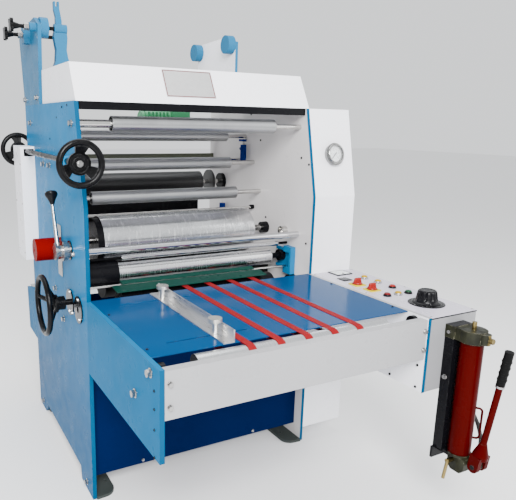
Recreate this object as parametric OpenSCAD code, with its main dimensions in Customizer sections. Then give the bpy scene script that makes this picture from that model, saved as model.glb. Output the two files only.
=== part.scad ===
// Roll laminator with a feed table, a chrome drum, guide rollers, a side cabinet with a
// control console and a hydraulic hand pump. Millimetres, +Z up, feed side towards -Y.
// Pieces are laid out from a plane just inside the left plate's outer face (X), the side
// plates' front edge (Y) and the floor (Z); in_frame() puts the origin between the anchor holes.

/* [Frame] */
// Width over the two side plates
frame_w = 1000; // [980:1:1020]
// Thickness of the side and table plates
plate_t = 15; // [12:1:18]
// Depth of the side plates
plate_d = 932; // [928:1:960]
// Height of the side plates
frame_h = 1500; // [1490:1:1520]
// Height at which the front edge starts to lean back
fold_z = 1135; // [1110:1:1160]
// How far the front edge has leaned back at the top
top_set_back = 78; // [60:1:90]
// Height of the arch between the front and rear feet
arch_h = 55; // [30:1:70]
// Radius of the anchor bolt holes
anchor_r = 7; // [5:0.5:8]

/* [Hood and cabinet] */
// Height of the white hood
hood_h = 134; // [100:1:150]
// Width of the side cabinet
cabinet_w = 213; // [190:1:240]
// Wall of the sheet metal covers
sheet_t = 2; // [1.5:0.5:3]

/* [Feed table] */
// Height of the table top
table_z = 801; // [795:1:803]
// How far the table reaches in front of the side plates
table_l = 655; // [650:1:670]
// Width of one feed tape
tape_w = 26; // [10:1:26]
// Distance from tape to tape
tape_pitch = 102.2; // [80:0.2:110]
// Number of feed tapes
tape_count = 5; // [2:1:5]
// Length of the lay guide
guide_l = 571; // [500:1:580]

/* [Rollers] */
// Radius of the chrome drum
drum_r = 100; // [90:1:102]
// Radius of the rubber press roller
press_r = 74.6; // [60:0.2:74.6]
// Radius of the chrome nip roller
nip_r = 36; // [30:1:38]
// Radius of the aluminium guide rollers
guide_r = 28; // [22:1:30]
// Radius of the shafts that carry the guide rollers
shaft_r = 10; // [8:0.5:11]
// Running clearance between a shaft and its bore
fit = 0.05; // [0.02:0.01:0.08]

/* [Console] */
// Width of the console
console_w = 226; // [220:1:240]
// Height of the console
console_h = 272; // [240:1:300]
// Radius of a push button
button_r = 12; // [10:0.5:12]
// Radius of the speed dial's scale
scale_r = 66; // [55:1:70]

/* [Hand pump] */
// Radius of the pump's red reservoir
reservoir_r = 38; // [32:1:40]
// Length of the pump's handle, pivot to tip
pump_handle_l = 446; // [380:1:480]

/* [Hidden] */
$fn = 48;
outer_l = -9;
outer_r = frame_w + outer_l;
inner_l = outer_l + plate_t;
inner_r = outer_r - plate_t;
anchor_x = [66, 925];
anchor_y = 85;
foot_l = 155;
pad_t = 12;
hood_l = -3;

// Rollers and shafts: [Y, Z] of each axis
guide_1 = [115, 1424];
guide_2 = [561, 1375];
guide_3 = [478, 1253];
guide_4 = [415, 1119];
drum_at = [347, 954];
press_at = [347, 779];
nip_at = [194, 850];
front_bar_at = [95, 962];
web_bar_at = [175, 910];
film_rod_at = [469, 1036];
rear_at = [790, 1135];
motor_at = [880, 1440];
lever_at = [205, 952];
crank_at = [228, 740];
tape_at = [108, 742];
front_at = [-600, 771];
canister_at = [352, 932];
screw_1_at = [628, 1806];
screw_2_at = [767, 1790];

// Lengthways stations of the rollers, [from X, to X]
tube_x = [139, 845];
drum_x = [143, 850];
nip_x = [168, 890];
press_x = [150, 855];

journal_r = 12;
drum_journal_r = 14;
press_journal_r = 16;
screw_r = 8;
nip_housing_r = 56;
end_taper = 8;
channel_t = 3;

// The upper crank's shaft runs front to back: [X, Z]
top_crank_at = [-42, 1297];
top_crank_y = [-103, 995];
top_crank_r = 10.5;
wheel_r = 80;

// Lay guide, its two clamping knobs and the slots they travel in
tape_x0 = 302.5;
tape_t = 1.5;
gap = 0.3;
tape_roller_r = table_z - tape_at[1];
front_roller_r = table_z - front_at[1];
guide_edge_x = 271.4;
guide_rear_y = 2;
knob_x = 250;
knob_y = [-484, -80];
slot_x = [88, 363];
slot_w = 9;

// Console: push buttons, selectors and the speed dial, [X, Y]
console_top = table_z - 1;
panel_t = 2.3;
button_at = [[1152, -155], [1155, -232], [1153, -316], [1151, -402], [1048, -395], [1101, -399]];
button_colour = ["gold", "gold", "red", "darkgreen", "darkred", "gold"];
selector_at = [[1053, -222], [1053, -307]];
dial_at = [1112, -527];

// The cabinet's leaning face carries the gauge
lean = atan(top_set_back / (frame_h - fold_z));
gauge_x = 1098;
gauge_z = 1309;
gauge_r = 48;
gland_at = [1100, 180];
gland_r = 6.5;

// Hand pump
pump_x = 1110;
pump_y = -738;
pump_pivot = [1120, -809, 290];
pump_lean = 7.7;
base_w = 30;

// ---------------------------------------------------------------- helpers

module in_frame() translate([-(anchor_x[0] + anchor_x[1]) / 2, -plate_d / 2, 0]) children();

module block(lo, hi) translate(lo) cube(hi - lo);

// Round bars along X, Y and Z; at is the axis' place in the other two directions
module bar_x(x, at, r) translate([x[0], at[0], at[1]]) rotate([0, 90, 0]) cylinder(h = x[1] - x[0], r = r);

module bar_y(y, at, r) translate([at[0], y[0], at[1]]) rotate([-90, 0, 0]) cylinder(h = y[1] - y[0], r = r);

module bar_z(z, at, r) translate([at[0], at[1], z[0]]) cylinder(h = z[1] - z[0], r = r);

// A plate standing across X, with its outline drawn in Y and Z
module yz_plate(x) translate([x[0], 0, 0]) rotate([90, 0, 90]) linear_extrude(x[1] - x[0]) children();

module ring(outer, inner, h) difference() {
    cylinder(h = h, r = outer);
    translate([0, 0, -1]) cylinder(h = h + 2, r = inner);
}

// Hexagon head with its washer, standing on a face; af is across flats
module bolt(af) {
    cylinder(h = 2, r = af * 0.72);
    translate([0, 0, 2]) cylinder(h = af * 0.55, d = af / cos(30), $fn = 6);
}

module bolt_left(x, at, af) translate([x, at[0], at[1]]) rotate([0, -90, 0]) bolt(af);

module bolt_front(x, y, z, af) translate([x, y, z]) rotate([90, 0, 0]) bolt(af);

// Outline of a closed belt round two pulleys in one plane
function arc(c, r, from, to, n) = [for (i = [0:n]) c + r * [cos(from + (to - from) * i / n),
                                                          sin(from + (to - from) * i / n)]];

function belt_points(a, ra, b, rb) =
    let (d = norm(b - a), dir = atan2(b[1] - a[1], b[0] - a[0]), open = acos((ra - rb) / d))
    concat(arc(a, ra, dir + open, dir + 360 - open, 20), arc(b, rb, dir - open, dir + open, 16));

module belt(x, a, ra, b, rb, t) yz_plate(x) difference() {
    polygon(belt_points(a, ra + t, b, rb + t));
    polygon(belt_points(a, ra, b, rb));
}

// Sprocket in the chain's plane
module sprocket(at, teeth, pitch_r) translate([1032, at[0], at[1]]) rotate([90, 0, 90]) linear_extrude(6)
    polygon([
        for (i = [0:teeth * 2 - 1])
            (pitch_r + (i % 2 == 0 ? 2.2 : -2.2)) * [cos(180 * i / teeth), sin(180 * i / teeth)]
    ]);

module side_outline() polygon([
    [0, 0], [foot_l, 0], [foot_l + 13, arch_h], [plate_d - 187, arch_h], [plate_d - foot_l + 28, 0],
    [plate_d, 0], [plate_d, frame_h], [top_set_back, frame_h], [0, fold_z]
]);

// ---------------------------------------------------------------- frame

module side_plate_left() in_frame() color("steelblue") difference() {
    yz_plate([outer_l, inner_l]) side_outline();
    for (at = [lever_at, crank_at, tape_at]) bar_x([outer_l - 1, inner_l + 1], at, 16);
}

module side_plate_right() in_frame() color("whitesmoke") difference() {
    yz_plate([inner_r, outer_r]) side_outline();
    bar_x([inner_r - 1, outer_r + 1], drum_at, 18);
    bar_x([inner_r - 1, outer_r + 1], motor_at, 16);
}

// Plates that carry the feed table in front and the delivery tray behind
module table_plates() in_frame() color("deepskyblue") {
    for (x = [[outer_l, inner_l], [inner_r, outer_r]]) block([x[0], -table_l - 6, 528], [x[1], 0, table_z]);
    for (x = [outer_l, outer_r - 12])
        yz_plate([x, x + 12]) polygon([
            [plate_d, 345], [plate_d + 188, 349], [plate_d + 202, 573], [plate_d + 58, 603], [plate_d, 603]
        ]);
}

// Pad welded to the foot of a plate, drawn from the plate's inner face
module foot_pad(inset) linear_extrude(pad_t) difference() {
    polygon(concat([[0, 150], [0, -8], [18, -7]], arc([32, 42], 48, -75, 0, 10), [[80, 150]]));
    translate([inset, anchor_y]) circle(r = anchor_r);
}

module foot_pads() in_frame() color("dimgray") {
    for (rear = [0, 1]) translate([0, rear * plate_d, 0]) mirror([0, rear, 0]) {
        translate([inner_l, 0, 0]) foot_pad(anchor_x[0] - inner_l);
        translate([inner_r, 0, 0]) mirror([1, 0, 0]) foot_pad(inner_r - anchor_x[1]);
    }
}

// Fixed shafts of the guide rollers, the bars and the beams that tie the plates together
module cross_shafts() in_frame() color("silver") {
    for (at = [guide_1, guide_2, guide_3, guide_4]) bar_x([inner_l, inner_r], at, shaft_r);
    bar_x([inner_l, tube_x[0] - 9], guide_1, 15);
    bar_x([inner_l, inner_r], front_bar_at, 13.5);
    bar_x([inner_l, inner_r], web_bar_at, 6);
    bar_x([184, 924], web_bar_at, 11);
    bar_x([inner_l, inner_r], film_rod_at, 6);
    bar_x([956, inner_r], film_rod_at, 11);
    bar_x([inner_l, inner_r], [597, 1256], 12);
    difference() {
        bar_x([950, inner_r], [190, 962], 22);
        bar_x([949, 968], [190, 962], 17);
    }
    block([inner_l, 895, 1248], [inner_r, 915, 1276]);
    block([inner_l, 70, 80], [inner_r, 120, 160]);
    block([inner_l, 820, 80], [inner_r, 880, 160]);
}

module plate_bolts() in_frame() color("lightgray") {
    for (at = [
        [820, 1422], [117, 1424], [597, 1252], [483, 1254], [342, 634], [467, 735], [850, 39], [75, 35],
        [905, 1525], [658, 1527]
    ]) bolt_left(outer_l, at, 18);
    for (at = [[-600, 772], [-480, 660]]) bolt_left(outer_l, at, 20);
    for (x = [inner_l + 17, inner_r - 9], z = [689, 756]) bolt_front(x, -table_l - channel_t, z, 12);
    for (x = [218, 746]) bolt_front(x, 50, 83, 9);
}

// Panels between the side plates: the front and rear skirts, and in black the bar under the hood's
// front edge and the sheet behind the drum
module frame_panels() in_frame() {
    color("navy") {
        block([inner_l, 50, 68], [inner_r, 50 + sheet_t, 640]);
        block([inner_l, 890, 60], [inner_r, 890 + sheet_t, 560]);
    }
    color("black") {
        block([inner_l, 84, frame_h - 28], [inner_r, 104, frame_h]);
        block([inner_l, 600, 985], [735, 603, 1115]);
    }
}

// ---------------------------------------------------------------- covers

module hood_outline(t) polygon([
    [top_set_back + t, frame_h - (t > 0 ? 1 : 0)], [152 + t * 0.8, frame_h + hood_h - t],
    [578 - t, frame_h + hood_h - t], [590 - t, frame_h - (t > 0 ? 1 : 0)]
]);

module hood() in_frame() color("white") {
    difference() {
        yz_plate([hood_l, outer_r]) hood_outline(0);
        yz_plate([hood_l + sheet_t, outer_r - sheet_t]) hood_outline(sheet_t);
    }
    block([hood_l + sheet_t, top_set_back + 2, frame_h],
          [outer_r - sheet_t, top_set_back + 28, frame_h + sheet_t]);
}

// Cover over the upper crank's gears on the left plate, open towards the plate
module gear_case() in_frame() color("whitesmoke") difference() {
    block([-71, 775, 798], [outer_l, 945, 1318]);
    block([-71 + sheet_t, 775 + sheet_t, 798 + sheet_t], [outer_l + 1, 945 - sheet_t, 1318 - sheet_t]);
    block([-56, 774, 1275], [outer_l - 2, 778, 1308]);
    bar_y([940, 946], top_crank_at, 14);
}

module cabinet_outline(t) polygon([
    [t, 65 + t], [t, fold_z], [top_set_back + t, frame_h - t],
    [plate_d - 2 - t, frame_h - t], [plate_d - 2 - t, 65 + t]
]);

// Cabinet beside the right plate, open towards the plate, with the mains gland at its back
module cabinet() in_frame() color("whitesmoke") difference() {
    union() {
        yz_plate([outer_r, outer_r + cabinet_w]) cabinet_outline(0);
        bar_y([plate_d - 2, plate_d + 16], gland_at, 14);
    }
    yz_plate([outer_r - 1, outer_r + cabinet_w - sheet_t]) cabinet_outline(sheet_t);
    bar_y([plate_d - 5, plate_d + 17], gland_at, gland_r);
}

module console_box() in_frame() color("whitesmoke") difference() {
    block([outer_r, -table_l - 4, console_top - console_h], [outer_r + console_w, 0, console_top - panel_t]);
    block([outer_r - 1, -table_l - 4 + sheet_t, console_top - console_h + sheet_t],
          [outer_r + console_w - sheet_t, -sheet_t, console_top]);
}

module console_panel() in_frame() color("lightgray") difference() {
    block([outer_r, -table_l - 4, console_top - panel_t], [outer_r + console_w, 0, console_top]);
    for (at = button_at) bar_z([console_top - 5, console_top + 1], at, button_r + gap);
    for (at = selector_at) bar_z([console_top - 5, console_top + 1], at, 8);
    bar_z([console_top - 5, console_top + 1], dial_at, 10);
}

// Meters, button collars, selector plates and the speed dial's scale
module panel_fittings() in_frame() color("gold") {
    color("black") block([1073, -77, console_top], [1157, -7, console_top + 9]);
    color("black") block([1039, -159, console_top], [1085, -111, console_top + 4]);
    for (at = button_at) translate([at[0], at[1], console_top]) ring(15.6, button_r + gap, 8);
    for (at = selector_at) difference() {
        block([at[0] - 26, at[1] - 26, console_top], [at[0] + 26, at[1] + 26, console_top + 4]);
        bar_z([console_top - 1, console_top + 5], at, 8);
    }
    color("black") difference() {
        translate([dial_at[0], dial_at[1], console_top]) cylinder(h = 3, r = scale_r);
        bar_z([console_top - 1, console_top + 4], dial_at, 10);
    }
}

// ---------------------------------------------------------------- tables

module table_sheet() in_frame() color("dodgerblue") {
    difference() {
        block([inner_l, -568, table_z - 3], [inner_r, 8, table_z]);
        for (y = knob_y)
            block([slot_x[0], y - slot_w / 2, table_z - 4], [slot_x[1], y + slot_w / 2, table_z + 1]);
    }
    block([outer_l + 12, plate_d + 3, 584], [outer_r - 12, plate_d + 186, 587]);
}

// Folded channel across the front of the feed table
module table_front() in_frame() color("lightgray") {
    front = -table_l - channel_t;
    top = table_z - 6;
    block([inner_l, front, 653], [inner_r, -table_l, top]);
    block([inner_l, front, top - channel_t], [inner_r, front + 30, top]);
    block([inner_l, front, 653], [inner_r, front + 30, 653 + channel_t]);
}

module feed_tapes() in_frame() color("firebrick")
    for (i = [0:tape_count - 1]) {
        x = tape_x0 + i * tape_pitch;
        belt([x - tape_w / 2, x + tape_w / 2],
             tape_at, tape_roller_r + gap, front_at, front_roller_r + gap, tape_t);
    }

module guide_plates() in_frame() color("mediumseagreen") {
    yz_plate([122, 790]) polygon([[50, 806], [112, 814.5], [112, 817.5], [50, 809]]);
    yz_plate([168, 775]) polygon([[127, 815], [150, 822.5], [150, 825.5], [127, 818]]);
    bar_x([inner_l, 950], [139, 811], 5);
    for (x = [172, 440, 740]) yz_plate([x, x + 6]) polygon([
        [104, 813.6], [118, 809], [132, 806], [146, 806], [146, 821.6], [127, 815.4], [112, 814.9]
    ]);
}

// ---------------------------------------------------------------- bearings and cylinders

module housing(x, at, r, bore) difference() {
    bar_x(x, at, r);
    bar_x([x[0] - 1, x[1] + 1], at, bore + fit);
}

module shaft_bearings() in_frame() color("black") {
    housing([inner_l, 46], drum_at, 50, drum_journal_r);
    housing([945, inner_r], drum_at, 27, drum_journal_r);
    housing([inner_l, 165], nip_at, nip_housing_r, journal_r);
    housing([946, inner_r], nip_at, 26, journal_r);
    color("dodgerblue") difference() {
        union() {
            block([960, 160, 795], [inner_r, 232, 885]);
            block([950, 104, 777], [inner_r, 161, 900]);
        }
        block([949, 118, 806], [inner_r - 6, 233, 874]);
    }
    housing([-14, outer_l], crank_at, 51, journal_r);
    housing([-14, outer_l], tape_at, 52, journal_r);
    housing([945, inner_r], tape_at, 34, journal_r);
    housing([-13, outer_l], lever_at, 37, journal_r);
    housing([inner_l, 34], rear_at, 34, journal_r);
    housing([957, inner_r], rear_at, 42, journal_r);
    housing([inner_l, 30], front_at, 24, shaft_r);
    housing([961, inner_r], front_at, 24, shaft_r);
    for (y = [[66, 98], [800, 830]]) difference() {
        block([-60, y[0], 1274], [outer_l, y[1], 1313]);
        bar_y([y[0] - 1, y[1] + 1], top_crank_at, top_crank_r + fit);
    }
}

module ram_cylinders() in_frame() color("mediumblue") {
    for (x = [36, 955]) {
        bar_z([1259, 1335], [x, 545], 15);
        bar_z([1335, 1352], [x, 545], 5);
        block([x - 10, 532, 1350], [x + 10, 574, 1361]);
        bar_y([560, 570], [x, 1315], 8);
        bar_z([930, 1022], [x, 745], 16);
    }
    for (x = [50, 941]) {
        difference() {
            bar_z([560, 700], [x, press_at[0]], 24);
            bar_z([600, 701], [x, press_at[0]], press_journal_r - 2 + fit);
        }
    }
    block([inner_l, 300, 540], [84, 394, 560]);
    block([907, 300, 540], [inner_r, 394, 560]);
}

// Red canister on a steel strap on the left plate, beside the drum
module end_canister() in_frame() {
    color("firebrick") difference() {
        bar_x([-113, -12], canister_at, 45);
        bar_x([-114, -98], canister_at, 6);
    }
    color("silver") block([-12, 330, 816], [outer_l, 395, 1027]);
}

// ---------------------------------------------------------------- unwind brackets

module unwind_brackets() in_frame() color("steelblue") {
    difference() {
        union() {
            yz_plate([outer_l, inner_l]) polygon([
                [624, frame_h], [plate_d, frame_h], [plate_d + 59, 1798],
                [900, 1832], [656, 1848], [585, 1813]
            ]);
            bar_x([inner_l, 38], screw_1_at, 41);
            bar_x([-35, outer_l], screw_1_at, 18);
            block([-35, screw_2_at[0] - 26, 1755], [outer_l, screw_2_at[0] + 30, 1820]);
        }
        for (at = [screw_1_at, screw_2_at]) bar_x([-36, 39], at, screw_r + fit);
    }
    color("whitesmoke") yz_plate([inner_r, outer_r]) polygon([
        [683, frame_h], [plate_d, frame_h], [1095, 1730], [1095, 1851], [837, 1861], [683, 1832]
    ]);
    for (at = [[722, 1819], [1072, 1812]]) bar_x([936, inner_r], at, 44);
}

// ---------------------------------------------------------------- drive

module drive_motor() in_frame() color("seagreen") {
    y = motor_at[0];
    z = motor_at[1];
    bar_x([560, 700], [y, z + 8], 46);
    bar_x([542, 560], [y, z + 8], 42);
    for (i = [0:5]) block([575 + i * 20, y - 50, z - 30], [579 + i * 20, y + 50, z + 46]);
    difference() {
        block([700, y - 50, z - 53], [800, y + 50, z + 60]);
        bar_x([780, 801], motor_at, journal_r + fit);
    }
    block([inner_l, y - 60, z - 61], [inner_r, y + 50, z - 53]);
    block([640, y - 40, z - 53], [670, y + 40, z - 34]);
}

// Roller chain from the gear motor to the drum, behind the cabinet's wall
module drive_chain() in_frame() color("gray") belt([1031, 1039], motor_at, 37.4, drum_at, 61.6, 5);

module drive_shaft() in_frame() color("silver") {
    bar_x([782, 1046], motor_at, journal_r);
    sprocket(motor_at, 18, 34);
}

// ---------------------------------------------------------------- rollers

// Tube with a recessed bearing at its left end and a taper at its right end
module guide_roller(at, x, r) in_frame() color("gainsboro") difference() {
    union() {
        bar_x([x[0], x[1] - end_taper], at, r);
        translate([x[1] - end_taper, at[0], at[1]]) rotate([0, 90, 0])
            cylinder(h = end_taper, r1 = r, r2 = shaft_r + 5);
    }
    bar_x([x[0] - 1, x[1] + 1], at, shaft_r + fit);
    translate([x[0] - 1, at[0], at[1]]) rotate([0, 90, 0]) ring(r - 3, shaft_r + 5, 6);
}

module guide_roller_1() guide_roller(guide_1, [tube_x[0] - 6, tube_x[1] - 2], guide_r + 1);
module guide_roller_2() guide_roller(guide_2, [tube_x[0], 872], guide_r - 3);
module guide_roller_3() guide_roller(guide_3, tube_x, guide_r - 1);
module guide_roller_4() guide_roller(guide_4, tube_x, guide_r - 0.5);

module nip_roller() in_frame() color("gainsboro") {
    bar_x(nip_x, nip_at, nip_r);
    bar_x([60, 956], nip_at, journal_r);
    bar_x([nip_x[1], 905], nip_at, 20);
}

module drum() in_frame() color("gainsboro") {
    difference() {
        bar_x(drum_x, drum_at, drum_r);
        bar_x([drum_x[0] + 14, drum_x[1] - 14], drum_at, drum_r - 10);
    }
    bar_x([118, drum_x[0]], drum_at, drum_r - 6);
    bar_x([20, 1046], drum_at, drum_journal_r);
    sprocket(drum_at, 30, 58);
}

module press_roller() in_frame() color("black") {
    bar_x(press_x, press_at, press_r);
    bar_x([32, 959], press_at, press_journal_r);
}

// Two bearing blocks that carry the press roller on the pressing rams
module press_carriage() in_frame() color("dimgray") for (x = [50, 941]) {
    difference() {
        block([x - 22, 300, 725], [x + 22, 394, 830]);
        bar_x([x - 23, x + 23], press_at, press_journal_r + fit);
    }
    bar_z([640, 725], [x, press_at[0]], press_journal_r - 2);
}

module rear_roller() in_frame() color("black") {
    bar_x([140, 835], rear_at, 55);
    bar_x([20, 971], rear_at, journal_r);
    bar_x([889, 901], rear_at, 62);
}

module table_roller() in_frame() color("silver") {
    bar_x([124, 837], front_at, front_roller_r);
    bar_x([18, 973], front_at, shaft_r);
}

module tape_roller() in_frame() color("dimgray") {
    bar_x([150, 840], tape_at, tape_roller_r);
    bar_x([-10, 972], tape_at, journal_r);
}

// ---------------------------------------------------------------- cranks and levers

// Handwheel facing -Y: its hub lies behind the rim, joined by a web with three kidney openings
module handwheel() {
    rim = 11;
    dish = 24;
    inner = wheel_r - rim;
    rotate([90, 0, 0]) {
        translate([0, 0, dish]) rotate_extrude() translate([inner, 0]) circle(r = rim);
        translate([0, 0, -13]) cylinder(h = 26, r = 21);
        difference() {
            rotate_extrude() polygon([
                [16, -6], [34, -6], [inner - 8, dish - 5], [inner, dish - 5],
                [inner, dish + 5], [inner - 12, dish + 5], [31, 4], [16, 4]
            ]);
            for (a = [25, 145, 265]) rotate(a) translate([0, 0, -10]) linear_extrude(50)
                polygon(concat(arc([0, 0], 63, -38, 38, 12), arc([0, 0], 38, 36, -36, 6)));
        }
    }
}

module top_crank() in_frame() color("black") {
    hub_y = [top_crank_y[0] + 24, top_crank_y[1] - 24];
    bar_y([hub_y[0] - 16, hub_y[1] + 16], top_crank_at, top_crank_r);
    translate([top_crank_at[0], hub_y[0], top_crank_at[1]]) handwheel();
    translate([top_crank_at[0], hub_y[1], top_crank_at[1]]) rotate([0, 0, 180]) handwheel();
    bar_y([850, 872], top_crank_at, 17);
}

module nip_crank() in_frame() color("black") {
    rim_x = -113;
    rim_r = 109;
    bar_x([-70, 58], crank_at, journal_r);
    bar_x([-66, -34], crank_at, 27);
    bar_x([-74, -63], crank_at, 36);
    translate([rim_x, crank_at[0], crank_at[1]]) rotate([0, 90, 0])
        rotate_extrude() translate([rim_r, 0]) circle(r = 11);
    for (a = [35, 155, 275]) translate([-66, crank_at[0], crank_at[1]]) rotate([a, 0, 0])
        rotate([0, atan2(rim_x + 66, rim_r), 0]) cylinder(h = norm([rim_x + 66, rim_r]) - 4, r1 = 13, r2 = 8);
}

module nip_lever() in_frame() {
    lever_lean = -20.3;
    color("silver") {
        bar_x([-68, -60], lever_at, 33);
        bar_x([-61, -40], lever_at, 21);
        bar_x([-41, -26], lever_at, 40);
        bar_x([-27, -13.5], lever_at, 30);
        bar_x([-14, 58], lever_at, journal_r);
        bar_x([30, 46], lever_at, 20);
        translate([-54, lever_at[0], lever_at[1]]) rotate([lever_lean, 0, 0])
            cylinder(h = 192, r1 = 9, r2 = 6);
    }
    color("black") translate([-54, lever_at[0], lever_at[1]]) rotate([lever_lean, 0, 0])
        rotate_extrude() polygon([
            [0, 182], [8.5, 182], [11, 192], [17, 204], [22.5, 213],
            [24.5, 219], [24, 225], [20, 230.5], [12, 233.5], [0, 234]
        ]);
}

module adjuster_screw(at, end_x) in_frame() color("black") {
    bar_x([-104, end_x], at, screw_r);
    translate([-112, at[0], at[1]]) rotate([0, 90, 0]) linear_extrude(12) {
        circle(r = 21);
        for (a = [45:90:315]) rotate(a) translate([24, 0]) circle(r = 9);
    }
    translate([-101, at[0], at[1]]) rotate([0, 90, 0]) cylinder(h = 26, r1 = 16, r2 = 9);
    translate([-56, at[0], at[1]]) rotate([0, 90, 0]) cylinder(h = 19, d = 30, $fn = 6);
}

module adjuster_screw_1() adjuster_screw(screw_1_at, 121);
module adjuster_screw_2() adjuster_screw(screw_2_at, 94);

// Brake arm that hangs on the first adjuster's rod, with a fork at its top end
module brake_arm() in_frame() color("steelblue") difference() {
    union() {
        translate([0, screw_1_at[0] + 10, 0]) rotate([90, 0, 0]) linear_extrude(20) polygon([
            [70, 1786], [72, 1812], [73, 1853], [67, 1880], [67, 1912], [74, 1912], [74, 1893], [83, 1893],
            [83, 1912], [90, 1912], [90, 1884], [96, 1850], [98, 1835], [96, 1786]
        ]);
        translate([0, screw_1_at[0] + 17, 0]) rotate([90, 0, 0]) linear_extrude(34) polygon([
            [64, 1790], [62, 1772], [70, 1722], [66, 1676], [56, 1650], [56, 1606], [122, 1606], [123, 1677],
            [118, 1692], [113, 1722], [118, 1772], [116, 1790]
        ]);
        bar_x([66, 118], screw_1_at, 20);
    }
    bar_x([50, 130], screw_1_at, screw_r + fit);
}

// ---------------------------------------------------------------- lay guide

module lay_guide() in_frame() color("silver") difference() {
    union() {
        block([guide_edge_x - 38, guide_rear_y - guide_l, table_z + gap],
              [guide_edge_x, guide_rear_y, table_z + 4]);
        block([guide_edge_x - 4, guide_rear_y - guide_l, table_z + gap],
              [guide_edge_x, guide_rear_y, table_z + 40]);
    }
    for (y = knob_y) bar_z([table_z - 1, table_z + 5], [knob_x, y], 4 + fit);
}

module guide_knob(y) in_frame() color("gainsboro") {
    bar_z([table_z - 22, table_z + 10], [knob_x, y], 4);
    bar_z([table_z + 4.3, table_z + 42], [knob_x, y], 8.5);
    bar_z([table_z + 42, table_z + 54], [knob_x, y], 22);
    bar_z([table_z - 16, table_z - 6], [knob_x, y], 11);
}

module guide_knob_1() guide_knob(knob_y[0]);
module guide_knob_2() guide_knob(knob_y[1]);

// ---------------------------------------------------------------- controls

module button(i) in_frame() color(button_colour[i]) {
    bar_z([console_top - 1, console_top + 12.5], button_at[i], button_r);
    bar_z([console_top - 26, console_top], button_at[i], 8);
}

module button_1() button(0);
module button_2() button(1);
module button_3() button(2);
module button_4() button(3);
module button_5() button(4);
module button_6() button(5);

module selector(i) in_frame() color("tomato") {
    translate([selector_at[i][0], selector_at[i][1], console_top + 4 + gap]) {
        cylinder(h = 7, r = 20);
        translate([0, 7, 0]) rotate([90, 0, 0]) linear_extrude(14)
            polygon([[-20, 2], [-16, 25], [16, 25], [20, 2]]);
        translate([0, 0, -28]) cylinder(h = 30, r = 6);
    }
}

module selector_1() selector(0);
module selector_2() selector(1);

module speed_knob() in_frame() color("black") translate([dial_at[0], dial_at[1], console_top + 3 + gap]) {
    cylinder(h = 12, r1 = 44, r2 = 40);
    translate([0, 0, 12]) linear_extrude(32) difference() {
        circle(r = 38);
        for (a = [0:30:330]) rotate(a) translate([42, 0]) circle(r = 7);
    }
    translate([0, 0, 44]) cylinder(h = 4, r1 = 33, r2 = 29);
    translate([0, 0, -40]) cylinder(h = 41, r = 7);
}

// ---------------------------------------------------------------- pressure gauge

module on_lean(x, z) translate([x, tan(lean) * (z - fold_z), z]) rotate([90 - lean, 0, 0]) children();

module gauge_case() in_frame() color("silver") on_lean(gauge_x, gauge_z) difference() {
    union() {
        cylinder(h = 20, r = gauge_r - 3);
        translate([0, 0, 16]) cylinder(h = 8, r = gauge_r);
    }
    translate([0, 0, 14]) cylinder(h = 11, r = gauge_r - 16);
    translate([0, 0, 8]) cylinder(h = 7, r = 2.5 + fit);
}

module gauge_needle() in_frame() color("black") on_lean(gauge_x, gauge_z) {
    translate([0, 0, 9]) cylinder(h = 11, r = 2.5);
    rotate(225) translate([0, 0, 17]) linear_extrude(1.2)
        polygon([[-11, -2.4], [27, -0.7], [27, 0.7], [-11, 2.4]]);
}

// ---------------------------------------------------------------- hand pump

module pump_frame() in_frame() {
    pivot_at = [pump_pivot[1], pump_pivot[2]];
    color("black") {
        block([pump_x - 43, -697, 304], [pump_x + 45, -table_l - 4, 725]);
        block([pump_x - 54, -668, 262], [pump_x + 48, -table_l - 4, 304]);
        block([pump_x - 29, -745, 290], [pump_x + 36, -667, 305]);
    }
    color("darkolivegreen") {
        block([pump_x - 45, -697, 725], [pump_x + 45, -table_l - 4, 770]);
        block([pump_x - 40, pump_y, 725], [pump_x + 40, -697, 768]);
        bar_z([725, 768], [pump_x, pump_y], reservoir_r + 7);
        block([pump_x - 17, pump_y - 48, 730], [pump_x + 17, pump_y, 766]);
        bar_z([730, 766], [pump_x, pump_y - 48], 17);
        yz_plate([pump_x - base_w, pump_x + reservoir_r]) polygon([
            [-716, 304], [-785, 304], [-785, 262], [-770, 248], [-732, 248], [-716, 268]
        ]);
        bar_z([303, 312], [pump_x, pump_y], reservoir_r + 4);
    }
    color("goldenrod") {
        bar_z([768, 795], [pump_x, pump_y], 8);
        translate([pump_x, pump_y - 64, 748]) rotate([90, 0, 0]) cylinder(h = 14, r = 10, $fn = 6);
    }
    color("lightgray") for (z = [747, 580]) bolt_left(pump_x - 43, [-678, z], 12);
    color("darkolivegreen") difference() {
        union() {
            block([pump_pivot[0] - 9, pump_pivot[1], 276], [pump_pivot[0] + 9, -784, 304]);
            bar_x([pump_pivot[0] - 9, pump_pivot[0] + 9], pivot_at, 15);
        }
        bar_x([pump_pivot[0] - 10, pump_pivot[0] + 10], pivot_at, 8 + fit);
    }
}

module rod_bend(r) rotate([90, 0, 0]) rotate_extrude(angle = 90) translate([r, 0]) circle(r = 4);

// Reservoir with a bent rod on its side to carry it by
module pump_reservoir() in_frame() color("darkred") {
    loop_z = [373, 486];
    reach = reservoir_r + 20;
    bend = 12;
    bar_z([312, 725], [pump_x, pump_y], reservoir_r);
    translate([pump_x, pump_y, 0]) rotate(-50) {
        for (z = loop_z) translate([reservoir_r - 4, 0, z]) rotate([0, 90, 0])
            cylinder(h = reach - bend - reservoir_r + 4, r = 4);
        translate([reach, 0, loop_z[0] + bend]) cylinder(h = loop_z[1] - loop_z[0] - 2 * bend, r = 4);
        translate([reach - bend, 0, loop_z[1] - bend]) rod_bend(bend);
        translate([reach - bend, 0, loop_z[0] + bend]) mirror([0, 0, 1]) rod_bend(bend);
    }
}

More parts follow.
